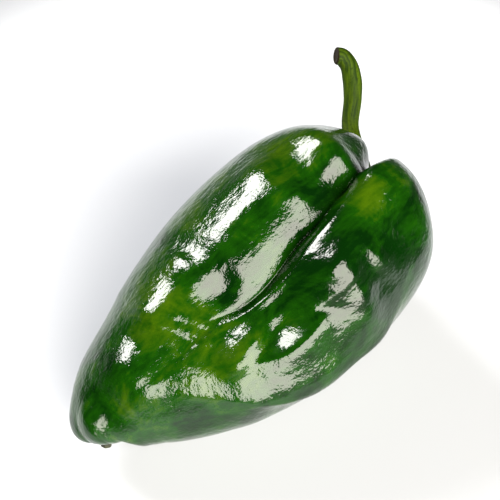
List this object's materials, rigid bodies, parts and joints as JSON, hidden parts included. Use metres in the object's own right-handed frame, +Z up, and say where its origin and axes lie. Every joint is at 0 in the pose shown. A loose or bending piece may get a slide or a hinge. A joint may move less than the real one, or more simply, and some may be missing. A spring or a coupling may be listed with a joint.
{
  "type": "poblano pepper",
  "caption": "Broad tapering chilli pod lying on its side, with lobed shoulders, a folded valley, a sunken ribbed calyx and a curved stem.",
  "frame": {"origin": "middle of the flat spot under the pod that it rests on", "axes": "+X along the pod from its blossom end to its stem end, +Z up, -Y towards the side with the folded valley"},
  "size_m": [0.1321, 0.0739, 0.0623],
  "materials": {
    "skin": "waxy, glossy, mottled dark green",
    "rind": "satin, fibrous, olive green",
    "scar": "dry, corky, brown"
  },
  "bodies": {
    "root": {"pod": "skin", "stem": "rind", "blossom_scar": "scar"}
  },
  "joints": []
}
